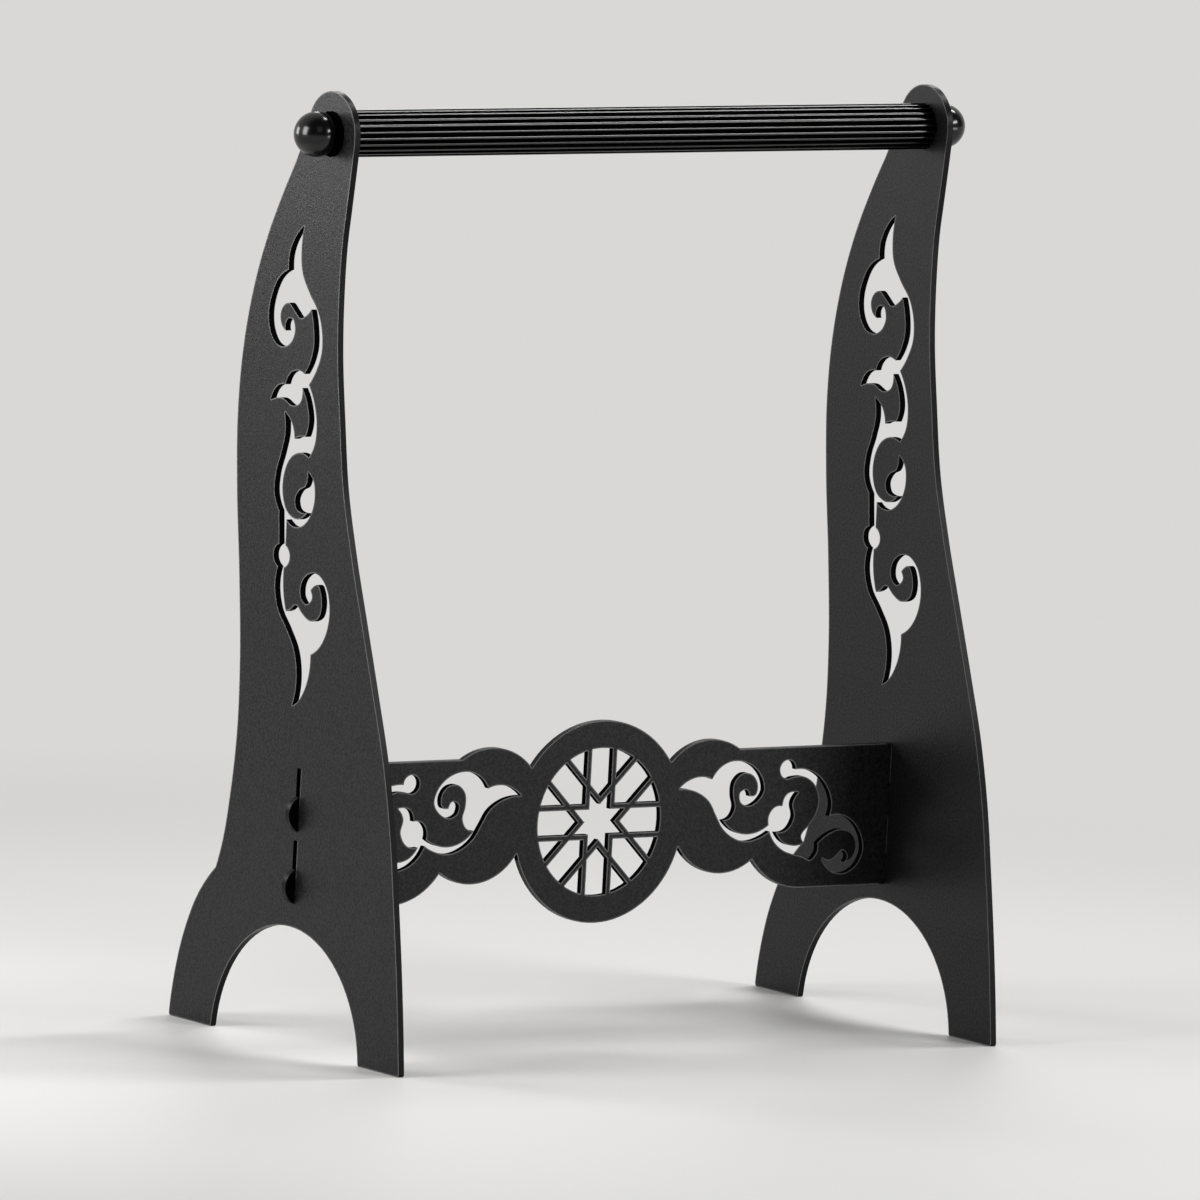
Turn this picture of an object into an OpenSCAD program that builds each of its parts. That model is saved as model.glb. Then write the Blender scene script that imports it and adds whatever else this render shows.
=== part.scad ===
// Towel stand: two pierced side plates, a fluted bar between them and a lower rail that hooks in

/* [Side plates] */
// Height of a side plate
plate_h = 440; // [400:1:520]
// Thickness of the plate sheet
plate_t = 3; // [2:0.5:5]
// Distance between the outer faces of the plates
stand_w = 336; // [310:1:420]
// Reach of the front foot from the bar's axis
foot_front = 93; // [85:0.5:110]
// Reach of the back foot from the bar's axis
foot_back = 97.5; // [90:0.5:115]
// Radius of the round head that carries the bar
head_r = 19.5; // [18:0.5:22]
// Radius of the arch between the feet
arch_r = 61; // [50:0.5:64]
// Depth of the arch's centre below the floor
arch_drop = 5.5; // [0:0.5:12]
// Drop of the neck's back edge below the bar's axis
neck_drop = 11.5; // [8:0.5:16]
// Radius of the corners of the feet
foot_corner_r = 1.5; // [1:0.1:3]

/* [Towel bar] */
// Diameter of the bar over its ridges
bar_d = 21.8; // [20:0.1:24]
// Bore of the bar
bar_bore_d = 17.8; // [16:0.1:18]
// Number of flutes round the bar
flutes = 22; // [16:1:24]
// Width of one flute at its mouth
flute_w = 2.2; // [1.2:0.1:2.4]
// Depth of one flute
flute_depth = 0.7; // [0.3:0.1:0.8]
// Length of the plug in each end of the bar
plug_len = 24; // [18:1:40]

/* [Finials] */
// Diameter of the ball
ball_d = 20.8; // [19:0.1:26]
// Diameter of the flat where the ball sits on its collar
ball_seat_d = 15; // [13:0.1:17]
// Depth of the stud's hole in the ball
ball_hole_depth = 12; // [8:0.5:13]
// Diameter of the collar
collar_d = 20.8; // [18:0.1:26]
// Thickness of the collar
collar_t = 1; // [0.5:0.5:3]
// Diameter of the stud
stud_d = 6; // [5:0.5:8]
// Length of the stud's part inside the plug
stud_grip = 16; // [10:1:17]

/* [Lower rail] */
// Thickness of the rail sheet
rail_t = 3; // [2:0.5:4]
// Height of the medallion's centre above the floor
rail_z = 98.5; // [96:0.5:106]
// Outer radius of the medallion
medal_r = 47.4; // [46:0.1:50]
// Width of the medallion's ring
medal_ring = 12.9; // [11:0.1:15]
// Distance from the medallion's centre to the lattice strips
strip_gap = 5.8; // [5:0.1:7]
// Width of a lattice strip
strip_w = 2.5; // [2:0.1:3]
// Height of the rail's top edge above the medallion's centre
rail_top = 31.5; // [31:0.5:34]
// Depth of the rail's bottom edge below the medallion's centre
rail_bottom = 35.2; // [34:0.1:38]
// Reach of the scroll's leaf into the medallion's ring
leaf_lap = 2.9; // [1:0.1:5]
// Distance from the scroll to the plate
scroll_margin = 13.5; // [10:0.5:20]

/* [Hooks] */
// Height of a hook's head
hook_h = 16; // [14:0.1:18]
// Height of a slot's floor below the top of the hook that rests in it
neck_h = 4; // [3:0.1:6]
// Reach of a head beyond the plate
hook_reach = 5.4; // [5:0.1:9]
// Height of the upper hook's top above the medallion's centre
hook_top = 17.2; // [16:0.1:19]
// Distance between the two hooks of an end
hook_pitch = 33.4; // [31:0.1:36]
// Radius of the two top corners of a slot
slot_corner_r = 0.8; // [0.4:0.1:1.2]

/* [Clearances] */
// Side play of the rail in its slots, on each side
slot_play = 0.1; // [0.05:0.05:0.3]
// Play of a head over its slot's length
head_play = 1.2; // [0.5:0.1:3]
// Play of the rail between the plates, and of a head off the plate, at each end
end_play = 0.1; // [0.05:0.05:0.3]
// Radial clearance of the stud in the plug and in the ball
stud_play = 0.05; // [0.02:0.01:0.1]
// Radial clearance of the stud in the plate and the collar
hole_play = 0.3; // [0.2:0.05:0.5]
// Radial clearance of the plug in the bar
plug_play = 0.02; // [0.01:0.01:0.1]

/* [Hidden] */
$fn = 96;
flute_fn = 24;
cut_over = 1;
corner_bite = 0.06;
neck_set = 0.5;
lattice_turn = 45;
curve_step = 1.6;
outline_step = 5;

powder_black = "#2b2b2c";
gloss_black = "#161617";
plated_steel = "#8e9092";

bar_z = plate_h - head_r;
bar_y = (foot_front - foot_back) / 2;
inner_x = stand_w / 2 - plate_t;
medal_inner_r = medal_r - medal_ring;
slot_w = rail_t + 2 * slot_play;
slot_h = hook_h + head_play;
slot_low = [for (k = [0, 1]) rail_z + hook_top - neck_h - k * hook_pitch];
ball_seat_x = sqrt(pow(ball_d, 2) - pow(ball_seat_d, 2)) / 2;

// The plate's curves are drawn full size, and stretched until their ends meet the neck and the feet
function last(p) = p[len(p) - 1];
function on_plate(p) = [p[0] * (p[0] < 0 ? -foot_front / last(front_edge)[0] : foot_back / last(back_edge)[0]),
    p[1] * (bar_z - neck_drop) / back_edge[0][1], each [for (i = [2:1:len(p) - 1]) p[i]]];

// The rail's scroll is drawn full size too, and stretched between the medallion and the plate
function scroll_end() = max([for (p = scroll_upper) p[0]]);
function along_rail(x) = medal_r - leaf_lap + (x - scroll_upper[0][0])
    * (inner_x - scroll_margin - medal_r + leaf_lap) / (scroll_end() - scroll_upper[0][0]);
function on_rail(p) = [along_rail(p[0]), p[1], each [for (i = [2:1:len(p) - 1]) p[i]]];

// Smooth closed curve through points, where a point with a third value is a sharp corner
function place(p, i) = let (q = p[(i + len(p)) % len(p)]) [q[0], q[1]];
function span(p, i) = norm(place(p, i + 1) - place(p, i));
function way(p, i) = (place(p, i + 1) - place(p, i)) / span(p, i);
function corner(p, i) = len(p[(i + len(p)) % len(p)]) > 2;
function slope(p, i) = (way(p, i - 1) * span(p, i) + way(p, i) * span(p, i - 1))
    / (span(p, i - 1) + span(p, i));
function slope_out(p, i) = !corner(p, i) ? slope(p, i)
    : corner(p, i + 1) ? way(p, i)
    : 2 * way(p, i) - slope(p, i + 1);
function slope_in(p, i) = !corner(p, i) ? slope(p, i)
    : corner(p, i - 1) ? way(p, i - 1)
    : 2 * way(p, i - 1) - slope(p, i - 1);
function blend(a, b, va, vb, t) = (1 + 2 * t) * pow(1 - t, 2) * a + t * pow(1 - t, 2) * va
    + t * t * (3 - 2 * t) * b + t * t * (t - 1) * vb;
function steps(p, i, size) = corner(p, i) && corner(p, i + 1) ? 1 : ceil(span(p, i) / size);
function curve(p, size) = [for (i = [0:len(p) - 1])
    let (n = steps(p, i, size), va = slope_out(p, i) * span(p, i), vb = slope_in(p, i + 1) * span(p, i))
    for (k = [0:n - 1]) blend(place(p, i), place(p, i + 1), va, vb, k / n)];
function backwards(p) = [for (i = [len(p) - 1:-1:0]) p[i]];

// Side plate outline, from the head down the back to the foot and up the front
head_turns = [for (a = [180:-15:15]) a];
back_edge = [[25.5, 409], [36.5, 390], [47, 370], [55, 350], [60.5, 330], [64, 308], [65, 285],
    [62.5, 250], [57, 210], [53, 170], [52.5, 140], [55.5, 110], [60.5, 85], [64.5, 74, 1],
    [77.5, 60.5], [88.5, 40], [94.5, 20], [97.5, 0, 1]];
front_edge = [[-18.5, 410], [-16, 390], [-13.5, 370], [-13, 350], [-14.5, 320], [-19, 290],
    [-24.5, 260], [-34, 230], [-45.5, 200], [-57, 170], [-68, 140], [-76, 110], [-81.5, 80],
    [-88, 40], [-93, 0, 1]];
arch_y = 1.5;
// Depth of an edge's lowest stretch at a height above the floor
function wall_at(edge, height) = let (foot = on_plate(last(edge)), above = on_plate(edge[len(edge) - 2]))
    foot[0] + (above[0] - foot[0]) * height / above[1];

// Pierced stem of a side plate, its back edge and its front edge, both from the top leaf down
stem_back = [
    [18, 376.5, 1], [25, 370], [29, 361.5], [29, 355, 1],
    [36.5, 350.5], [41.5, 342.5], [43.5, 334], [42, 326.5], [36.5, 320.5], [30, 319.5],
    [24.5, 322], [21.5, 328], [23.5, 332.8], [27.5, 332.7], [29.5, 330], [29, 327, 1],
    [33, 330], [34, 334], [32, 338], [27.5, 340], [22.5, 337], [17.5, 334], [12.5, 336], [9, 339, 1],
    [6, 330], [5.5, 321.5], [8, 314.5], [12, 309, 1],
    [18, 310], [24, 307.5], [27, 302.5, 1], [33.5, 301], [38.5, 294, 1],
    [29, 296], [20, 293.5], [14.5, 295.5], [13, 302.5, 1],
    [8, 295], [6.3, 287], [8.5, 280.5, 1],
    [13.5, 280], [17.5, 278.5, 1], [19.5, 284.5], [26.5, 290, 1],
    [25, 281], [27.5, 271], [31, 261.5], [31.5, 252], [27, 244.5, 1],
    [25.5, 229, 1], [25.5, 219, 1],
    [27.3, 211], [24, 199.5], [16.5, 191.5], [9, 182], [6, 170], [8.5, 156.5, 1]];
stem_front = [
    [19.5, 366], [18, 355.5], [11, 346], [3.5, 338.5], [-0.5, 329.5], [-1, 320.5], [3, 311], [8, 304.5, 1],
    [3, 297], [0, 286], [1, 277.5], [5, 271.5, 1],
    [12.5, 272.8], [20, 269.5], [24.7, 261.5], [25, 252.5], [21, 245], [13, 242], [4, 246, 1],
    [8.5, 245.6], [13, 247], [14.5, 250.5], [11.5, 255.5], [6.5, 258], [5, 265, 1],
    [0.5, 261.5], [-1.3, 253], [1.5, 245], [8, 239.5], [15, 238.5], [20.7, 241, 1],
    [20.5, 229.5, 1], [21, 218.5, 1],
    [20.5, 208.5], [17.5, 199, 1],
    [14.5, 200], [9.5, 203], [4, 199.5], [-3, 197], [-10, 200], [-11.5, 207.5], [-7.5, 214.3],
    [-1.7, 211.2, 1],
    [-3.4, 208], [1.5, 204.3], [6, 207.5], [6, 213], [0.5, 218.3], [-7, 219], [-14, 214.5],
    [-18, 203.5], [-16, 193], [-11, 186], [-4.3, 181.9, 1],
    [-4.3, 176], [-1.5, 166.5], [4.5, 158.8]];
// Oval bead on the straight stem, its centre and its half sizes
bead = [23.2, 224];
bead_half = [6.6, 5.5];

// Pierced scroll of the rail, its upper edge and its lower edge, both from the leaf by the medallion
scroll_upper = [
    [44.5, 13.7, 1], [50, 17.5], [56.5, 19], [63.2, 17.7, 1],
    [67, 22.5], [73, 25.5], [80, 25.5], [87, 22.5], [92, 16.5], [93, 11.5], [90, 7], [84.5, 4.5],
    [80, 6.5], [79.5, 10.8], [83, 12.2], [85, 9, 1],
    [88.5, 9.5], [89.5, 14], [86, 19.2], [80.5, 20], [76, 16], [75.5, 9.5], [76.8, 4], [74.5, -0.5],
    [70.2, -1.8, 1],
    [75, -6.2], [84, -9], [91, -8], [96.8, -5, 1],
    [96.8, -0.5], [99.5, 3], [104.2, 3.7, 1], [106, 8.7], [113, 10, 1],
    [109.8, 5], [111, -1.5], [107.5, -7.4], [101, -8.5, 1],
    [105.5, -13.5], [111.5, -15.3], [117.7, -14.3, 1],
    [115.8, -11], [120, -5.8], [124, 0], [125, 7], [121.5, 14], [115, 17.5], [110, 17.4],
    [106.2, 16.7, 1], [106.2, 20.8, 1], [110, 20.8, 1],
    [116, 20.7], [123, 18], [129.5, 11.3], [132.2, 4], [131.2, -1.9, 1],
    [137.5, -1.5], [145, -5], [150, -11.5], [151.5, -18.5], [148, -25.8], [140.5, -29.3],
    [133, -27.3], [128.2, -21.5, 1],
    [133, -23], [137, -20.7], [140, -18.3], [142.8, -21], [141.5, -24, 1],
    [145.5, -22.7], [148, -16.5], [145.5, -10.8], [138, -8.3], [130.5, -10.7], [125.3, -14.5, 1],
    [125.3, -18.5], [121.5, -22.3], [117, -20.5]];
scroll_lower = [
    [55, 12], [62, 7.5], [66.5, 0.5], [70.5, -5.5], [76.5, -10], [84, -12.2], [91, -11],
    [97.4, -7.9, 1], [100.5, -13], [105.5, -17], [112, -19.3]];
// Round bulb at the tip of the scroll's leaf, its centre and radius
bulb = [106.2, 21];
bulb_r = 4.4;
// Lobes of the rail's edge, each with its centre and radius
top_lobe = [61.7, 6.6, 30];
low_lobe = [70.4, 2.8, 29.6];
end_lobe = [116, -1, 34.2];
top_run = 78.5;

// Lays a drawing of depth and height upright, with its thickness along the stand's width
module upright(thickness) {
    rotate([90, 0, 90]) linear_extrude(thickness) children();
}

module plate_outline() {
    round_head = [for (a = head_turns) [head_r * cos(a), bar_z + head_r * sin(a)]];
    back = [for (p = back_edge) on_plate(p)];
    front = [for (p = front_edge) on_plate(p)];
    polygon(curve(concat(round_head, back, backwards(front)), outline_step));
}

module pierced_stem() {
    edge = [for (p = concat(stem_back, backwards(stem_front))) on_plate(p)];
    polygon(curve(edge, curve_step));
    centre = on_plate(bead);
    half = on_plate(bead_half);
    polygon([for (a = [0:10:350]) [centre[0] + half[0] * cos(a), centre[1] + half[1] * sin(a)]]);
}

// What is cut from a foot to round its corner, where the wall passes a given depth and faces one side
module foot_corner(wall, side) {
    centre = [wall - side * (foot_corner_r - corner_bite), foot_corner_r - corner_bite];
    difference() {
        polygon([centre, [centre[0], -cut_over], [wall + side * cut_over, -cut_over],
            [wall + side * cut_over, centre[1]]]);
        translate(centre) circle(foot_corner_r);
    }
}

module foot_corners() {
    arch_half = sqrt(pow(arch_r, 2) - pow(arch_drop + foot_corner_r, 2));
    foot_corner(arch_y + arch_half, -1);
    foot_corner(arch_y - arch_half, 1);
    foot_corner(wall_at(back_edge, foot_corner_r), 1);
    foot_corner(wall_at(front_edge, foot_corner_r), -1);
}

// A slot with a square floor and two round corners at its top
module slot() {
    straight_h = slot_h - slot_corner_r;
    translate([-slot_w / 2, 0]) square([slot_w, straight_h]);
    translate([slot_corner_r - slot_w / 2, 0]) square([slot_w - 2 * slot_corner_r, slot_h]);
    for (side = [-1, 1]) translate([side * (slot_w / 2 - slot_corner_r), straight_h]) circle(slot_corner_r);
}

module side_plate() {
    translate([0, bar_y, 0]) upright(plate_t) difference() {
        plate_outline();
        pierced_stem();
        translate([arch_y, -arch_drop]) circle(arch_r);
        foot_corners();
        translate([0, bar_z]) circle(stud_d / 2 + hole_play);
        for (low = slot_low) translate([0, low]) slot();
    }
}

module left_side_plate() {
    color(powder_black) translate([-stand_w / 2, 0, 0]) side_plate();
}

module right_side_plate() {
    color(powder_black) translate([inner_x, 0, 0]) side_plate();
}

// One half of the rail's blank, with its lobed edges
module rail_half_blank() {
    reach = inner_x - end_play;
    translate([along_rail(low_lobe[0]), low_lobe[1]]) circle(low_lobe[2]);
    intersection() {
        translate([along_rail(top_lobe[0]), top_lobe[1]]) circle(top_lobe[2]);
        square([reach, top_lobe[1] + top_lobe[2] + cut_over]);
    }
    intersection() {
        translate([along_rail(end_lobe[0]), end_lobe[1]]) circle(end_lobe[2]);
        translate([0, -rail_bottom]) square([reach, rail_bottom + rail_top]);
    }
    translate([along_rail(top_run), 0]) square([reach - along_rail(top_run), rail_top]);
    translate([along_rail(end_lobe[0]), -rail_bottom])
        square([reach - along_rail(end_lobe[0]), rail_bottom + rail_top]);
}

// A neck through the plate with a round head that drops behind it, flat towards the plate
module hook() {
    throat = stand_w / 2 + end_play;
    root = inner_x - end_play - cut_over;
    head_w = hook_reach - end_play;
    nose_r = (pow(hook_h / 2, 2) + pow(head_w, 2)) / (2 * head_w);
    translate([root, -neck_h]) square([throat + cut_over - root, neck_h - neck_set]);
    intersection() {
        translate([throat, -hook_h - cut_over]) square([head_w + cut_over, hook_h + 2 * cut_over]);
        translate([throat + head_w - nose_r, -hook_h / 2]) circle(nose_r);
    }
}

module pierced_scroll() {
    edge = [for (p = concat(scroll_upper, backwards(scroll_lower))) on_rail(p)];
    polygon(curve(edge, curve_step));
    translate([along_rail(bulb[0]), bulb[1]]) circle(bulb_r);
}

// The openings that leave four pairs of crossing strips round an open star with eight points
module lattice_openings() {
    inner_gap = strip_gap;
    outer_gap = strip_gap + strip_w;
    tip_r = inner_gap / sin(lattice_turn / 2);
    valley_r = inner_gap / sin(lattice_turn);
    gable_r = outer_gap / sin(lattice_turn);
    wedge_r = outer_gap / sin(lattice_turn / 2);
    points = 360 / lattice_turn;
    polygon([for (k = [0:2 * points - 1]) let (r = k % 2 == 0 ? valley_r : tip_r, turn = k * lattice_turn / 2)
        [r * cos(turn), r * sin(turn)]]);
    intersection() {
        circle(medal_inner_r);
        union() for (k = [0:points - 1]) rotate(k * lattice_turn) {
            polygon([[gable_r, 0], [gable_r + inner_gap, -inner_gap], [medal_r, -inner_gap],
                [medal_r, inner_gap], [gable_r + inner_gap, inner_gap]]);
            rotate(lattice_turn / 2) translate([wedge_r, 0]) polygon([[0, 0],
                medal_r * [cos(lattice_turn / 2), -sin(lattice_turn / 2)],
                medal_r * [cos(lattice_turn / 2), sin(lattice_turn / 2)]]);
        }
    }
}

module rail_profile() {
    difference() {
        union() {
            circle(medal_r);
            for (side = [0, 1]) mirror([side, 0]) {
                rail_half_blank();
                for (k = [0, 1]) translate([0, hook_top - k * hook_pitch]) hook();
            }
        }
        lattice_openings();
        for (side = [0, 1]) mirror([side, 0]) pierced_scroll();
    }
}

module lower_rail() {
    color(powder_black) translate([0, bar_y + rail_t / 2, rail_z]) rotate([90, 0, 0])
        linear_extrude(rail_t) rail_profile();
}

// Puts a round piece on the bar's axis, its own axis pointing out to one side of the stand
module on_axis(side, distance) {
    translate([side * distance, bar_y, bar_z]) rotate([0, side * 90, 0]) children();
}

module towel_bar() {
    flute_r = (pow(flute_w / 2, 2) + pow(flute_depth, 2)) / (2 * flute_depth);
    color(gloss_black) on_axis(1, -inner_x) linear_extrude(2 * inner_x) difference() {
        circle(bar_d / 2);
        circle(bar_bore_d / 2);
        for (k = [0:flutes - 1]) rotate(k * 360 / flutes)
            translate([bar_d / 2 - flute_depth + flute_r, 0]) circle(flute_r, $fn = flute_fn);
    }
}

module bar_plug(side) {
    color(plated_steel) on_axis(side, inner_x - plug_len) difference() {
        cylinder(d = bar_bore_d - 2 * plug_play, h = plug_len);
        translate([0, 0, -cut_over]) cylinder(r = stud_d / 2 + stud_play, h = plug_len + 2 * cut_over);
    }
}

module left_bar_plug() { bar_plug(-1); }

module right_bar_plug() { bar_plug(1); }

module collar(side) {
    color(gloss_black) on_axis(side, stand_w / 2) difference() {
        cylinder(d = collar_d, h = collar_t);
        translate([0, 0, -cut_over]) cylinder(r = stud_d / 2 + hole_play, h = collar_t + 2 * cut_over);
    }
}

module left_collar() { collar(-1); }

module right_collar() { collar(1); }

module ball_finial(side) {
    color(gloss_black) on_axis(side, stand_w / 2 + collar_t) difference() {
        translate([0, 0, ball_seat_x]) sphere(d = ball_d);
        translate([-ball_d, -ball_d, -ball_d]) cube([2 * ball_d, 2 * ball_d, ball_d]);
        translate([0, 0, -cut_over]) cylinder(r = stud_d / 2 + stud_play, h = ball_hole_depth + cut_over);
    }
}

module left_ball_finial() { ball_finial(-1); }

module right_ball_finial() { ball_finial(1); }

module stud(side) {
    length = stud_grip + plate_t + collar_t + ball_hole_depth;
    color(plated_steel) on_axis(side, inner_x - stud_grip) cylinder(d = stud_d, h = length);
}

module left_stud() { stud(-1); }

module right_stud() { stud(1); }

left_side_plate();
right_side_plate();
lower_rail();
towel_bar();
left_bar_plug();
right_bar_plug();
left_collar();
right_collar();
left_ball_finial();
right_ball_finial();
left_stud();
right_stud();
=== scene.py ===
"""Towel stand: pierced powder-coated side plates, a fluted bar with ball ends and a hook-in lower rail."""
import math
from functools import partial

import bmesh
import bpy
from mathutils import Matrix, Vector
from mathutils.bvhtree import BVHTree


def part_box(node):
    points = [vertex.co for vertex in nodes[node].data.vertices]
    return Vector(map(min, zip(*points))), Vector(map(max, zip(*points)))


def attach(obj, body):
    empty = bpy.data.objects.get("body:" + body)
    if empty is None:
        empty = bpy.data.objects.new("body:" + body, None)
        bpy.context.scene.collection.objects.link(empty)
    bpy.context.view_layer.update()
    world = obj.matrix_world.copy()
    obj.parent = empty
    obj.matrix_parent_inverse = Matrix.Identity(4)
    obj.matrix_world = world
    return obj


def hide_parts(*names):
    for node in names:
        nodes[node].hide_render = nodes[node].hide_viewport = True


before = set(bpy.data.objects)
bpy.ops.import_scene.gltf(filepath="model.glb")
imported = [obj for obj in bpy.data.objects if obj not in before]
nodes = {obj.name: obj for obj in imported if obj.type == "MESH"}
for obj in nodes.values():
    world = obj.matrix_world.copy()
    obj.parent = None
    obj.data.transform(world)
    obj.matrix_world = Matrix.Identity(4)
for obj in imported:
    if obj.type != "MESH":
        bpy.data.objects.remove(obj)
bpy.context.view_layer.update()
MM = 0.001


# Where the camera stood for the photograph, solved from matched points of the stand
PHOTO_SIDE = 1200
SENSOR = 36.0
FOCAL_PIXELS = 16576
CAMERA_TURN = math.radians(35.136)
CAMERA_TILT = math.radians(7.006)
CAMERA_ROLL = math.radians(-3.023)
CAMERA_DISTANCE = 7664 * MM
AIM_HEIGHT = 220 * MM
AIM_RIGHT = -5.06 * MM
AIM_UP = -17.90 * MM

# How near and how far the camera sees
CLIP_START = 100 * MM
CLIP_END = 100000 * MM

# Sizes and places from the CAD frame
bar_low, bar_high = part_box("towel_bar")
BAR_AXIS = (bar_low + bar_high) / 2
BAR_LENGTH = bar_high.x - bar_low.x
BAR_DIAMETER = bar_high.z - bar_low.z
plate_low, plate_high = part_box("right_side_plate")
PLATE_INSIDE = plate_low.x
PLATE_OUTSIDE = plate_high.x

# Sizes that no box of the frame gives, the same as in the solids
FLUTES = 22
BORE_DIAMETER = 17.8 * MM
SEAT_DIAMETER = 15 * MM
STUD_HOLE = 6.1 * MM
STUD_DEPTH = 12 * MM
COLLAR_HOLE = 6.6 * MM

# The bar's ridges, which are rounder and deeper here than in the solids
RIDGE_WIDTH = 1.6 * MM
RIDGE_ROUND = 1.0 * MM
CREST_WIDTH = 0.85 * MM
GROOVE_DEPTH = 0.5 * MM
BAR_END_ROUND = 0.3 * MM
POINTS_PER_FLUTE = 20
BAR_SHARP = math.radians(30)

# Soft corners and the fineness of what is made here
SHEET_EDGE = 0.7 * MM
EDGE_SEGMENTS = 3
COLLAR_EDGE = 0.25 * MM
SHARP_CORNER = math.radians(50)
FLAT_WITHIN = math.radians(0.5)
MERGE_WITHIN = 0.001 * MM
FACE_WEIGHT = 90
TURNED_SEGMENTS = 96
CORNER_STEPS = 5
BALL_STEPS = 36

# The three coats of a cut sheet, two of them darker copies that paint shade on the cut edges and walls, and
# how its faces are told apart
FACE, EDGE, WALL = range(3)
FLAT_TURN = math.cos(math.radians(5))
WALL_TURN = math.cos(math.radians(87))
WIDEST_CUT = 35 * MM
WIDEST_ARCH = 80 * MM
ARCH_TOP = 80 * MM
OUTSIDE_MARGIN = 0.01 * MM
LOOK_START = 0.05 * MM

# The painted highlight along the rim of a sheet's faces, and where the slots and the rail's ends hide it
RIM_WIDTH = 1.2 * MM
RIM_FADE = 1 * MM
RIM_STARTS = 0.998
RIM_FULL = 0.95
SLOT_REACH = 3.5 * MM
SLOTS_TOP = 133 * MM
SLOTS_BOTTOM = 58 * MM
RAIL_REACH = PLATE_INSIDE - 2.5 * MM

# The floor and the backdrop
FLOOR_HALF = 30000 * MM
FLOOR_FADE_START = 450 * MM
FLOOR_FADE_END = 1000 * MM
BACKDROP = "#d9d8d7"
FILL_LEVEL = 0.17

# The dim room, the side of the stand that it is on, and the cosines to that side between which it fades in
ROOM_LEVEL = 0.1
ROOM_SIDE = (-0.09, -0.996, 0)
ROOM_FADE_START = -0.35
ROOM_FADE_END = 0.15


def linear(text):
    """Linear colour with alpha from an sRGB hex text."""
    parts = [int(text[i:i + 2], 16) / 255 for i in (1, 3, 5)]
    return [c / 12.92 if c <= 0.04045 else ((c + 0.055) / 1.055) ** 2.4 for c in parts] + [1.0]


def add(tree, kind, inputs=None, **settings):
    """Adds a node with its settings, and sets or links its inputs."""
    node = tree.nodes.new(kind)
    for name, value in settings.items():
        setattr(node, name, value)
    for name, value in (inputs or {}).items():
        if isinstance(value, bpy.types.NodeSocket):
            tree.links.new(value, node.inputs[name])
        else:
            node.inputs[name].default_value = value
    return node


def maths(tree, operation, *values):
    """The result of one operation on numbers and sockets."""
    return add(tree, "ShaderNodeMath", dict(enumerate(values)), operation=operation).outputs[0]


def ramp(tree, value, start, end, low=0.0, high=1.0, **settings):
    """A value that goes from low to high while another goes from start to end."""
    inputs = {"Value": value, "From Min": start, "From Max": end, "To Min": low, "To Max": high}
    return add(tree, "ShaderNodeMapRange", inputs, **settings).outputs["Result"]


def blend(tree, factor, first, second):
    """A colour between two others."""
    inputs = {"Factor": factor, "A": first, "B": second}
    return add(tree, "ShaderNodeMix", inputs, data_type="RGBA").outputs["Result"]


def noise(tree, place, size, **more):
    """A noise with spots of a size, at a place given by a vector socket."""
    inputs = {"Vector": place, "Scale": 1 / size}
    inputs.update(more)
    return add(tree, "ShaderNodeTexNoise", inputs).outputs["Fac"]


def new_material(name):
    """A material with an empty tree and its output node."""
    material = bpy.data.materials.new(name)
    material.use_nodes = True
    material.node_tree.nodes.clear()
    return material, material.node_tree, material.node_tree.nodes.new("ShaderNodeOutputMaterial")


def surface(tree, out, inputs):
    """Joins a shader with these inputs to a material's output."""
    shader = add(tree, "ShaderNodeBsdfPrincipled", inputs)
    tree.links.new(shader.outputs[0], out.inputs["Surface"])


def rim(tree):
    """How near a face's point is to the face's edge, from 0 at the rim's width to 1.

    It is told from the cosine between the face's own normal and one that is
    rounded over the rim's width.
    """
    rounded = add(tree, "ShaderNodeBevel", {"Radius": RIM_WIDTH}, samples=6).outputs["Normal"]
    true = add(tree, "ShaderNodeNewGeometry").outputs["True Normal"]
    bent = add(tree, "ShaderNodeVectorMath", {0: rounded, 1: true}, operation="DOT_PRODUCT")
    return ramp(tree, bent.outputs["Value"], RIM_STARTS, RIM_FULL)


def highlight_shown(tree, place, slotted):
    """1 where the painted highlight along the rim shows, and 0 round the slots of a slotted plate or at the
    ends of the rail.
    """
    spot = add(tree, "ShaderNodeSeparateXYZ", {0: place}).outputs
    if not slotted:
        outward = maths(tree, "ABSOLUTE", spot["X"])
        return ramp(tree, outward, RAIL_REACH, RAIL_REACH - RIM_FADE)
    aside = maths(tree, "ABSOLUTE", spot["Y"])
    clear = ramp(tree, aside, SLOT_REACH, SLOT_REACH + RIM_FADE)
    above = ramp(tree, spot["Z"], SLOTS_TOP, SLOTS_TOP + RIM_FADE)
    below = ramp(tree, spot["Z"], SLOTS_BOTTOM, SLOTS_BOTTOM - RIM_FADE)
    return maths(tree, "MAXIMUM", maths(tree, "MAXIMUM", clear, above), below)


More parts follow.
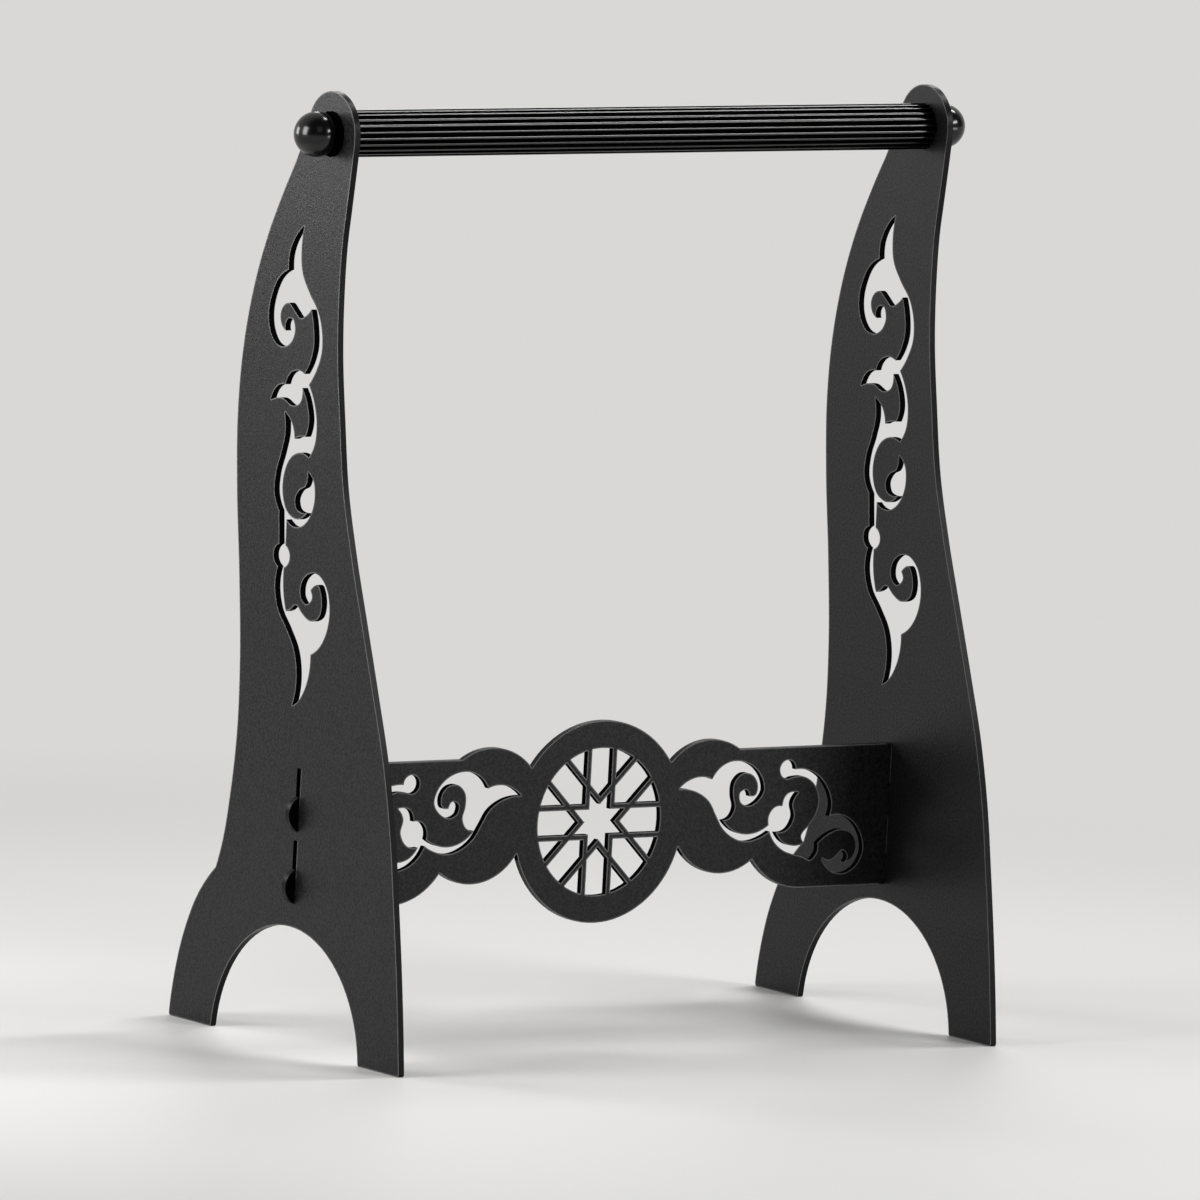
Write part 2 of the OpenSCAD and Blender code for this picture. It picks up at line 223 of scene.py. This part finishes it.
def powder_coat(name, slotted):
    """Polyester powder baked on sheet steel, sprayed with a fine texture.

    The eye gets a satin near-black whose sheen comes from the room, with a fine
    grain and a slow unevenness in gloss. The grain is drawn at 1.1 mm, about
    three times its real size, so that it shows. Along every edge a pale tone is
    painted over a millimetre as a painted highlight. It is left out round the
    slots of a slotted plate and where the rail's ends meet the plates.
    """
    grain_size = 1.1 * MM
    grain_height = 0.15 * MM
    cloud_size = 28 * MM
    material, tree, out = new_material(name)
    place = add(tree, "ShaderNodeTexCoord").outputs["Object"]
    grain = noise(tree, place, grain_size, Detail=2.0, Roughness=0.7)
    cloud = noise(tree, place, cloud_size, Detail=3.0)
    speck = ramp(tree, grain, 0.35, 0.65)
    speckled = blend(tree, speck, linear("#060607"), linear("#262627"))
    # A pale tone is painted along the rim of each face as a painted highlight
    painted_highlight = maths(tree, "MULTIPLY", rim(tree), highlight_shown(tree, place, slotted))
    tone = blend(tree, painted_highlight, speckled, linear("#7c7c7d"))
    gloss = ramp(tree, cloud, 0.3, 0.7, 0.37, 0.42)
    bump = add(tree, "ShaderNodeBump", {"Height": grain, "Strength": 0.8, "Distance": grain_height})
    surface(tree, out, {"Base Color": tone, "Roughness": gloss, "Specular IOR Level": 0.21, "IOR": 1.5,
                        "Normal": bump.outputs["Normal"]})
    return material


def shaded_cut_edge_coat():
    """The same powder as a darker copy without gloss. It is painted shade on the rounded cut edges, inside
    the piercings and on the hooks' flat faces.

    The eye gets a nearly black line beside the painted highlight on the rim of each
    face, with the cutter's fine stripes across it.
    """
    stripe_size = 0.7 * MM
    material, tree, out = new_material("powder_coat_painted_shade_on_cut")
    place = add(tree, "ShaderNodeTexCoord").outputs["Object"]
    stripe = noise(tree, place, stripe_size, Detail=1.0)
    tone = blend(tree, stripe, linear("#060607"), linear("#0e0e0f"))
    surface(tree, out, {"Base Color": tone, "Roughness": 0.5, "Specular IOR Level": 0.0, "IOR": 1.5})
    return material


def shaded_outer_wall_coat():
    """The same powder on the sheet's outer wall, which is as wide as the sheet is thick, as a darker copy
    that paints shade there.

    The eye gets a band darker than the faces as painted shade, between two black
    lines of painted shade, with a soft sheen where it turns towards a lamp.
    """
    grain_size = 1.3 * MM
    material, tree, out = new_material("powder_coat_painted_shade_on_outer_wall")
    place = add(tree, "ShaderNodeTexCoord").outputs["Object"]
    grain = noise(tree, place, grain_size, Detail=2.0)
    tone = blend(tree, grain, linear("#08080a"), linear("#121213"))
    # Darker tone and less gloss than the faces' coat: painted shade on the outer wall
    surface(tree, out, {"Base Color": tone, "Roughness": 0.36, "Specular IOR Level": 0.1, "IOR": 1.5})
    return material


def gloss_paint():
    """Gloss black enamel on the crests of a drawn aluminium tube, buffed by use.

    The eye gets a thin bright line along each crest that a lamp finds. The
    enamel's gloss drifts slowly along the tube, and the line with it.
    """
    flow_size = 6 * MM
    stretch = 25
    material, tree, out = new_material("gloss_enamel_on_drawn_tube")
    place = add(tree, "ShaderNodeTexCoord").outputs["Object"]
    along = add(tree, "ShaderNodeMapping", {"Vector": place, "Scale": (1 / stretch, 1, 1)})
    flow = noise(tree, along.outputs["Vector"], flow_size, Detail=1.0)
    gloss = ramp(tree, flow, 0.3, 0.7, 0.12, 0.15)
    surface(tree, out, {"Base Color": linear("#050505"), "Roughness": gloss, "Specular IOR Level": 0.6,
                        "IOR": 1.5})
    return material


def groove_shade_paint():
    """The same enamel as a dead black copy without gloss: painted shade beside the crests and in the
    grooves, and the finish of the washers.

    The eye gets dead black bands that no lamp brightens.
    """
    mottle_size = 4 * MM
    material, tree, out = new_material("enamel_painted_shade_in_grooves")
    place = add(tree, "ShaderNodeTexCoord").outputs["Object"]
    mottle = noise(tree, place, mottle_size)
    tone = blend(tree, mottle, linear("#020202"), linear("#060606"))
    surface(tree, out, {"Base Color": tone, "Roughness": 0.6, "Specular IOR Level": 0.0, "IOR": 1.5})
    return material


def polished_phenolic():
    """Phenolic resin, moulded and tumble polished.

    The eye gets a deep black with soft reflections of the lamps, which the
    tumbling has left a little uneven.
    """
    ripple_size = 5 * MM
    material, tree, out = new_material("polished_phenolic")
    place = add(tree, "ShaderNodeTexCoord").outputs["Object"]
    ripple = noise(tree, place, ripple_size, Detail=1.0)
    gloss = ramp(tree, ripple, 0.0, 1.0, 0.17, 0.21)
    surface(tree, out, {"Base Color": linear("#040404"), "Roughness": gloss, "Specular IOR Level": 0.36,
                        "IOR": 1.55})
    return material


def zinc_plate():
    """Zinc electroplated on turned steel.

    The eye gets a cool pale grey metal with faint turning rings.
    """
    ring_size = 2.5 * MM
    material, tree, out = new_material("zinc_plate_on_turned_steel")
    place = add(tree, "ShaderNodeTexCoord").outputs["Object"]
    wave = {"Vector": place, "Scale": 1 / ring_size, "Distortion": 0.6}
    rings = add(tree, "ShaderNodeTexWave", wave, bands_direction="X").outputs["Fac"]
    gloss = ramp(tree, rings, 0.0, 1.0, 0.28, 0.4)
    tone = blend(tree, rings, linear("#a9adb1"), linear("#c3c6c9"))
    surface(tree, out, {"Base Color": tone, "Roughness": gloss, "Metallic": 1.0})
    return material


def plain_mesh(maker, name):
    """The mesh that an object's modifiers make, with the object itself taken away."""
    ready = maker.evaluated_get(bpy.context.evaluated_depsgraph_get())
    mesh = bpy.data.meshes.new_from_object(ready)
    mesh.name = name
    bpy.data.objects.remove(maker)
    return mesh


def fitted(name, mesh, node, body):
    """An object for a finished mesh, which stands for a CAD node and rides on a body."""
    piece = bpy.data.objects.new(name, mesh)
    bpy.context.scene.collection.objects.link(piece)
    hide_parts(node)
    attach(piece, body)
    return piece


def tidy_faces(mesh, sharp=SHARP_CORNER):
    """Turns every face outwards and keeps the edges hard that turn more than the sharp angle."""
    shape = bmesh.new()
    shape.from_mesh(mesh)
    bmesh.ops.recalc_face_normals(shape, faces=shape.faces)
    for face in shape.faces:
        face.smooth = True
    shape.to_mesh(mesh)
    shape.free()
    mesh.set_sharp_from_angle(angle=sharp)


def sheet_piece(name, node, body, across, coats):
    """A cut sheet with its cut edges softened by the coat, made from a copy of its CAD mesh.

    The sheet lies square to the direction across it. Its coats are for its
    faces, its cut edges and its outer walls.
    """
    mesh = bpy.data.meshes.new(name)
    shape = bmesh.new()
    shape.from_mesh(nodes[node].data)
    bmesh.ops.remove_doubles(shape, verts=shape.verts, dist=MERGE_WITHIN)
    bmesh.ops.dissolve_limit(shape, angle_limit=FLAT_WITHIN, verts=shape.verts, edges=shape.edges,
                             use_dissolve_boundaries=False)
    # The faces are cut in line with the plates' outer faces, so that the hooks' heads get coats of their
    # own, with painted shade on their flat faces
    for side in (-1, 1):
        bmesh.ops.bisect_plane(shape, geom=shape.verts[:] + shape.edges[:] + shape.faces[:],
                               plane_co=(side * PLATE_OUTSIDE, 0, 0), plane_no=(1, 0, 0), dist=MERGE_WITHIN)
    for face in shape.faces:
        face.smooth = True
    shape.to_mesh(mesh)
    shape.free()
    maker = bpy.data.objects.new("sheet_maker", mesh)
    bpy.context.scene.collection.objects.link(maker)
    edge = maker.modifiers.new("soft_edges", "BEVEL")
    edge.width = SHEET_EDGE
    edge.segments = EDGE_SEGMENTS
    edge.limit_method = "ANGLE"
    edge.angle_limit = SHARP_CORNER
    edge.use_clamp_overlap = True
    flat = maker.modifiers.new("flat_faces", "WEIGHTED_NORMAL")
    flat.mode = "FACE_AREA"
    flat.weight = FACE_WEIGHT
    finished = plain_mesh(maker, name)
    finished.materials.clear()
    for coat in coats:
        finished.materials.append(coat)
    spread_coats(finished, across)
    return fitted(name, finished, node, body)


def spread_coats(mesh, across):
    """Gives each face of a cut sheet its coat."""
    shape = bmesh.new()
    shape.from_mesh(mesh)
    bmesh.ops.triangulate(shape, faces=shape.faces)
    walls = BVHTree.FromBMesh(shape)
    shape.free()
    for face in mesh.polygons:
        face.material_index = coat_of(face, abs(face.normal.dot(across)), walls)


def coat_of(face, turned, walls):
    """The coat of one face, by how it is turned and by what it looks at.

    A flat face gets the coat of the faces, and a rounded corner the painted shade
    of the cut edges. On a hook's head, outside the plate, it is the other way round,
    so that the head's flat faces get painted shade, and each wall there is an outer
    wall. Elsewhere a wall that looks at another wall close by is inside a piercing
    or an arch, and gets the painted shade of the cut edges.
    """
    outside = abs(face.center.x) > PLATE_OUTSIDE + OUTSIDE_MARGIN
    if turned > FLAT_TURN:
        return EDGE if outside else FACE
    if turned > WALL_TURN:
        return FACE if outside else EDGE
    if outside:
        return WALL
    start = face.center + face.normal * LOOK_START
    reach = WIDEST_ARCH if face.center.z < ARCH_TOP else WIDEST_CUT
    spot, facing = walls.ray_cast(start, face.normal, reach)[:2]
    looks_at_wall = spot is not None and facing.dot(face.normal) < 0
    return EDGE if looks_at_wall else WALL


def fluted_tube_tree(paint, groove_shade):
    """A tube with round ridges and narrow grooves along it, laid along X.

    A flat grid is rolled up. It has one row of points for each corner of the
    tube's wall, with the first and last row in the same place.
    """
    tree = bpy.data.node_groups.new("fluted_tube", "GeometryNodeTree")
    sizes = {"Length": BAR_LENGTH, "Diameter": BAR_DIAMETER, "Bore": BORE_DIAMETER,
             "Ridge Width": RIDGE_WIDTH, "Ridge Round": RIDGE_ROUND, "Crest Width": CREST_WIDTH,
             "Groove Depth": GROOVE_DEPTH, "End Round": BAR_END_ROUND,
             "Depth": BAR_AXIS.y, "Height": BAR_AXIS.z}
    tree.interface.new_socket("Flutes", in_out="INPUT", socket_type="NodeSocketInt")
    for name in sizes:
        tree.interface.new_socket(name, in_out="INPUT", socket_type="NodeSocketFloat")
    tree.interface.new_socket("Geometry", in_out="OUTPUT", socket_type="NodeSocketGeometry")
    size = add(tree, "NodeGroupInput").outputs
    calc = partial(maths, tree)

    def by_row(row, *values):
        """The value for each row of the grid."""
        pick = tree.nodes.new("GeometryNodeIndexSwitch")
        pick.data_type = "FLOAT"
        while len(pick.index_switch_items) < len(values):
            pick.index_switch_items.new()
        tree.links.new(row, pick.inputs[0])
        for i, value in enumerate(values):
            tree.links.new(value, pick.inputs[i + 1])
        return pick.outputs[0]

    def crown(off):
        """How far a round ridge has dropped at a distance from its middle."""
        return calc("DIVIDE", calc("MULTIPLY", off, off), calc("MULTIPLY", size["Ridge Round"], 2))

    wall_rows = 7
    columns = calc("ADD", calc("MULTIPLY", size["Flutes"], POINTS_PER_FLUTE), 1)
    grid = add(tree, "GeometryNodeMeshGrid", {"Size X": 1.0, "Size Y": 1.0, "Vertices X": columns,
                                              "Vertices Y": wall_rows})
    share = add(tree, "ShaderNodeSeparateXYZ", {0: grid.outputs["UV Map"]}).outputs
    turn = calc("MULTIPLY", share["X"], math.tau)
    row = calc("ROUND", calc("MULTIPLY", share["Y"], wall_rows - 1))

    # Distance round the tube from the middle of the nearest ridge, and the drop that it gives
    phase = calc("FRACT", calc("ADD", calc("MULTIPLY", share["X"], size["Flutes"]), 0.5))
    pitch = calc("DIVIDE", calc("MULTIPLY", size["Diameter"], math.pi), size["Flutes"])
    off_ridge = calc("MULTIPLY", calc("ABSOLUTE", calc("SUBTRACT", phase, 0.5)), pitch)
    groove = ramp(tree, off_ridge, calc("DIVIDE", size["Ridge Width"], 2), calc("DIVIDE", pitch, 2),
                  interpolation_type="SMOOTHSTEP")
    drop = calc("ADD", crown(off_ridge), calc("MULTIPLY", groove, size["Groove Depth"]))

    # The corners of the wall: bore, rounded end, outside, outside, rounded end, bore, and bore again
    ridge = calc("DIVIDE", size["Diameter"], 2)
    outside = calc("SUBTRACT", ridge, drop)
    end_outside = calc("SUBTRACT", outside, size["End Round"])
    bore = calc("DIVIDE", size["Bore"], 2)
    radius = by_row(row, bore, end_outside, outside, outside, end_outside, bore, bore)
    near_end = calc("DIVIDE", size["Length"], -2)
    far_end = calc("DIVIDE", size["Length"], 2)
    along = by_row(row, near_end, near_end, calc("ADD", near_end, size["End Round"]),
                   calc("SUBTRACT", far_end, size["End Round"]), far_end, far_end, near_end)
    across = calc("ADD", calc("MULTIPLY", radius, calc("SINE", turn)), size["Depth"])
    upward = calc("ADD", calc("MULTIPLY", radius, calc("COSINE", turn)), size["Height"])
    spot = add(tree, "ShaderNodeCombineXYZ", {"X": along, "Y": across, "Z": upward})
    wall = add(tree, "GeometryNodeSetPosition", {"Geometry": grid.outputs["Mesh"],
                                                 "Position": spot.outputs["Vector"]})
    closed = add(tree, "GeometryNodeMergeByDistance", {"Geometry": wall.outputs[0],
                                                       "Distance": MERGE_WITHIN})

    # Distance of a face's middle from the tube's axis, which tells the crests from the rest
    middle = add(tree, "GeometryNodeInputPosition").outputs[0]
    place = add(tree, "ShaderNodeSeparateXYZ", {0: middle}).outputs
    off_y = calc("SUBTRACT", place["Y"], size["Depth"])
    off_z = calc("SUBTRACT", place["Z"], size["Height"])
    squares = calc("ADD", calc("MULTIPLY", off_y, off_y), calc("MULTIPLY", off_z, off_z))
    crest_edge = calc("DIVIDE", size["Crest Width"], 2)
    crest_radius = calc("SUBTRACT", ridge, crown(crest_edge))
    in_groove = add(tree, "FunctionNodeCompare", {"A": calc("SQRT", squares), "B": crest_radius},
                    operation="LESS_THAN")

    smooth = add(tree, "GeometryNodeSetShadeSmooth", {"Geometry": closed.outputs[0]})
    real = add(tree, "GeometryNodeRealizeInstances", {"Geometry": smooth.outputs[0]})
    painted = add(tree, "GeometryNodeSetMaterial", {"Geometry": real.outputs[0], "Material": paint})
    # The grooves and the flanks beside the crests get the dead black enamel, as painted shade
    filled = add(tree, "GeometryNodeSetMaterial", {"Geometry": painted.outputs[0], "Material": groove_shade,
                                                   "Selection": in_groove.outputs[0]})
    result = tree.nodes.new("NodeGroupOutput")
    tree.links.new(filled.outputs[0], result.inputs[0])
    return tree, sizes


def fluted_bar(name, paint, groove_shade):
    """The towel bar, a fluted tube between the two plates."""
    tree, sizes = fluted_tube_tree(paint, groove_shade)
    maker = bpy.data.objects.new("tube_maker", bpy.data.meshes.new("tube_maker"))
    bpy.context.scene.collection.objects.link(maker)
    flute = maker.modifiers.new("flutes", "NODES")
    flute.node_group = tree
    for item in tree.interface.items_tree:
        if item.in_out == "INPUT":
            flute[item.identifier] = FLUTES if item.name == "Flutes" else sizes[item.name]
    mesh = plain_mesh(maker, name)
    tidy_faces(mesh, BAR_SHARP)
    return fitted(name, mesh, "towel_bar", "frame")


def round_corner(centre, radius, start, end, steps):
    """Points of an arc in a lathe profile, as distance along the axis and distance from it."""
    turns = [math.radians(start + (end - start) * i / steps) for i in range(steps + 1)]
    return [(centre[0] + radius * math.cos(turn), centre[1] + radius * math.sin(turn)) for turn in turns]


def turned_size(node):
    """Where a turned CAD node starts along the bar's axis, its length and its radius."""
    low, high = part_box(node)
    return min(abs(low.x), abs(high.x)), high.x - low.x, (high.z - low.z) / 2


def collar_profile(thickness, radius):
    """A washer with rounded outer corners."""
    hole = COLLAR_HOLE / 2
    near = (COLLAR_EDGE, radius - COLLAR_EDGE)
    far = (thickness - COLLAR_EDGE, radius - COLLAR_EDGE)
    return ([(0, hole), (0, radius - COLLAR_EDGE)] + round_corner(near, COLLAR_EDGE, 180, 90, CORNER_STEPS)
            + round_corner(far, COLLAR_EDGE, 90, 0, CORNER_STEPS) + [(thickness, hole)])


def collar(side, word, finish):
    """The washer between a plate and its ball, spun from its profile round the bar's axis."""
    name = word + "_collar_painted"
    start, thickness, radius = turned_size(word + "_collar")
    mesh = bpy.data.meshes.new(name)
    shape = bmesh.new()
    ring = []
    for along, away in collar_profile(thickness, radius):
        ring.append(shape.verts.new((side * (start + along), BAR_AXIS.y, BAR_AXIS.z + away)))
    edges = [shape.edges.new((ring[i - 1], ring[i])) for i in range(len(ring))]
    bmesh.ops.spin(shape, geom=ring + edges, cent=BAR_AXIS, axis=(1, 0, 0), angle=math.tau,
                   steps=TURNED_SEGMENTS, use_merge=True, use_duplicate=False)
    bmesh.ops.remove_doubles(shape, verts=shape.verts, dist=MERGE_WITHIN)
    shape.to_mesh(mesh)
    shape.free()
    tidy_faces(mesh)
    mesh.materials.append(finish)
    return fitted(name, mesh, word + "_collar", "frame")


def ball_profile(radius):
    """The rings of a ball with a flat seat and a blind hole for its stud, and its two poles.

    The rings go from the ball's tip over its outside and its seat to the floor
    of the hole. The poles are the middle of that floor and the tip.
    """
    seat = SEAT_DIAMETER / 2
    centre = math.sqrt(radius ** 2 - seat ** 2)
    seat_turn = math.degrees(math.atan2(seat, -centre))
    outside = round_corner((centre, 0), radius, 0, seat_turn, BALL_STEPS)
    hole = STUD_HOLE / 2
    return outside[1:] + [(0, hole), (STUD_DEPTH, hole)], (STUD_DEPTH, 0), outside[0]


def ball(side, word, finish):
    """A ball finial, turned on the bar's axis, with its two poles closed by fans."""
    name = word + "_ball_polished"
    start, _, radius = turned_size(word + "_ball_finial")
    profile, floor, tip = ball_profile(radius)
    mesh = bpy.data.meshes.new(name)
    shape = bmesh.new()

    def spot(point, turn=0.0):
        """A profile's point at a turn round the bar's axis."""
        along, away = point
        depth = BAR_AXIS.y + away * math.sin(turn)
        height = BAR_AXIS.z + away * math.cos(turn)
        return (side * (start + along), depth, height)

    turns = [math.tau * i / TURNED_SEGMENTS for i in range(TURNED_SEGMENTS)]
    rings = [[shape.verts.new(spot(point, turn)) for turn in turns] for point in profile]
    poles = [shape.verts.new(spot(tip)), shape.verts.new(spot(floor))]
    for i in range(TURNED_SEGMENTS):
        j = (i + 1) % TURNED_SEGMENTS
        shape.faces.new((poles[0], rings[0][i], rings[0][j]))
        shape.faces.new((poles[1], rings[-1][j], rings[-1][i]))
        for near, far in zip(rings, rings[1:]):
            shape.faces.new((near[i], far[i], far[j], near[j]))
    shape.to_mesh(mesh)
    shape.free()
    tidy_faces(mesh)
    mesh.materials.append(finish)
    return fitted(name, mesh, word + "_ball_finial", word + "_finial")


def photo_camera():
    """The camera at the photograph's viewing angle."""
    turn, tilt, roll = CAMERA_TURN, CAMERA_TILT, CAMERA_ROLL
    ahead = Vector((math.sin(turn) * math.cos(tilt), math.cos(turn) * math.cos(tilt), -math.sin(tilt)))
    level = Vector((math.cos(turn), -math.sin(turn), 0))
    down = ahead.cross(level)
    right = level * math.cos(roll) + down * math.sin(roll)
    up = -(down * math.cos(roll) - level * math.sin(roll))
    aim = Vector((0, BAR_AXIS.y, AIM_HEIGHT)) + right * AIM_RIGHT + up * AIM_UP
    data = bpy.data.cameras.new("photo_camera")
    data.sensor_width = SENSOR
    data.lens = FOCAL_PIXELS * SENSOR / PHOTO_SIDE
    data.clip_start = CLIP_START
    data.clip_end = CLIP_END
    camera = bpy.data.objects.new("photo_camera", data)
    turned = Matrix((right, up, -ahead)).transposed().to_4x4()
    camera.matrix_world = Matrix.Translation(aim - ahead * CAMERA_DISTANCE) @ turned
    bpy.context.scene.collection.objects.link(camera)
    bpy.context.scene.camera = camera


def seen(tree):
    """1 for rays that show the backdrop, from the camera or off gloss or through glass, else 0."""
    rays = add(tree, "ShaderNodeLightPath").outputs
    straight = maths(tree, "MAXIMUM", rays["Is Camera Ray"], rays["Is Glossy Ray"])
    return maths(tree, "MAXIMUM", straight, rays["Is Transmission Ray"])


def studio_floor():
    """A pale matt floor that fades into the backdrop away from the stand."""
    mesh = bpy.data.meshes.new("floor")
    corners = [(x * FLOOR_HALF, y * FLOOR_HALF, 0) for x, y in ((-1, -1), (1, -1), (1, 1), (-1, 1))]
    mesh.from_pydata(corners, [], [(0, 1, 2, 3)])
    floor = bpy.data.objects.new("floor", mesh)
    bpy.context.scene.collection.objects.link(floor)
    material, tree, out = new_material("matt_studio_floor")
    mesh.materials.append(material)
    place = add(tree, "ShaderNodeTexCoord").outputs["Object"]
    away = add(tree, "ShaderNodeVectorMath", {0: place}, operation="LENGTH").outputs["Value"]
    fade = ramp(tree, away, FLOOR_FADE_START, FLOOR_FADE_END, interpolation_type="SMOOTHSTEP")
    share = maths(tree, "MULTIPLY", seen(tree), fade)
    near = add(tree, "ShaderNodeBsdfPrincipled", {"Base Color": linear("#e4e3e2"), "Roughness": 0.55})
    far = add(tree, "ShaderNodeEmission", {"Color": linear(BACKDROP)})
    mix = add(tree, "ShaderNodeMixShader", {0: share, 1: near.outputs[0], 2: far.outputs[0]})
    tree.links.new(mix.outputs[0], out.inputs["Surface"])


def studio_world():
    """An even pale backdrop, a weak light from all sides, and a dim room in front of the stand.

    Only gloss shows the room. To the camera the backdrop is even all round.
    """
    world = bpy.data.worlds.new("studio")
    bpy.context.scene.world = world
    world.use_nodes = True
    tree = world.node_tree
    tree.nodes.clear()
    out = tree.nodes.new("ShaderNodeOutputWorld")
    direction = add(tree, "ShaderNodeTexCoord").outputs["Generated"]
    towards = add(tree, "ShaderNodeVectorMath", {0: direction, 1: ROOM_SIDE}, operation="DOT_PRODUCT")
    room = ramp(tree, towards.outputs["Value"], ROOM_FADE_START, ROOM_FADE_END, 1.0, ROOM_LEVEL)
    camera_ray = add(tree, "ShaderNodeLightPath").outputs["Is Camera Ray"]
    level = maths(tree, "MAXIMUM", room, camera_ray)
    light = add(tree, "ShaderNodeBackground", {"Color": linear("#ffffff"), "Strength": FILL_LEVEL})
    backdrop = add(tree, "ShaderNodeBackground", {"Color": linear(BACKDROP), "Strength": level})
    mix = add(tree, "ShaderNodeMixShader", {0: seen(tree), 1: light.outputs[0], 2: backdrop.outputs[0]})
    tree.links.new(mix.outputs[0], out.inputs["Surface"])


def softbox(name, place, width, height, watts):
    """A rectangular lamp that faces the middle of the stand, with its place and sides in metres."""
    data = bpy.data.lights.new(name, "AREA")
    data.shape = "RECTANGLE"
    data.size = width
    data.size_y = height
    data.energy = watts
    lamp = bpy.data.objects.new(name, data)
    lamp.location = place
    lamp.rotation_mode = "QUATERNION"
    lamp.rotation_quaternion = (Vector(place) - Vector((0, 0, AIM_HEIGHT))).to_track_quat("Z", "Y")
    lamp.visible_camera = False
    bpy.context.scene.collection.objects.link(lamp)


def studio_lamps():
    """Two soft lamps at the left, four at the right and a weak one in front."""
    softbox("high_left_softbox", (-0.72, 0.05, 0.56), width=0.24, height=0.34, watts=3.0)
    softbox("near_left_softbox", (-0.65, 0.69, 0.5), width=0.3, height=0.3, watts=2.4)
    softbox("right_top_strip", (0.74, 0.0, 1.49), width=0.15, height=0.7, watts=9.0)
    softbox("right_front_strip", (0.86, -1.13, 0.92), width=0.7, height=0.15, watts=9.0)
    softbox("low_right_strip", (0.86, -1.25, 0.25), width=0.7, height=0.12, watts=2.6)
    softbox("back_strip", (0.75, 0.94, 1.0), width=0.6, height=0.2, watts=3.0)
    softbox("front_softbox", (-0.6, -1.5, 1.3), width=0.8, height=0.8, watts=0.8)


# The cut edges and the walls get darker copies of the powder, as painted shade
shaded_edge_coats = (shaded_cut_edge_coat(), shaded_outer_wall_coat())
plate_coats = (powder_coat("powder_coat_on_side_plate", slotted=True),) + shaded_edge_coats
rail_coats = (powder_coat("powder_coat_on_rail", slotted=False),) + shaded_edge_coats
paint = gloss_paint()
groove_shade = groove_shade_paint()
resin = polished_phenolic()
zinc = zinc_plate()

sheet_piece("left_plate_coated", "left_side_plate", "frame", Vector((1, 0, 0)), plate_coats)
sheet_piece("right_plate_coated", "right_side_plate", "frame", Vector((1, 0, 0)), plate_coats)
sheet_piece("rail_coated", "lower_rail", "rail", Vector((0, 1, 0)), rail_coats)
fluted_bar("fluted_bar", paint, groove_shade)
for side, word in ((-1, "left"), (1, "right")):
    collar(side, word, groove_shade)
    ball(side, word, resin)
    for node in (word + "_bar_plug", word + "_stud"):
        nodes[node].data.materials.clear()
        nodes[node].data.materials.append(zinc)

photo_camera()
studio_floor()
studio_world()
studio_lamps()
bpy.context.scene.view_settings.view_transform = "Standard"
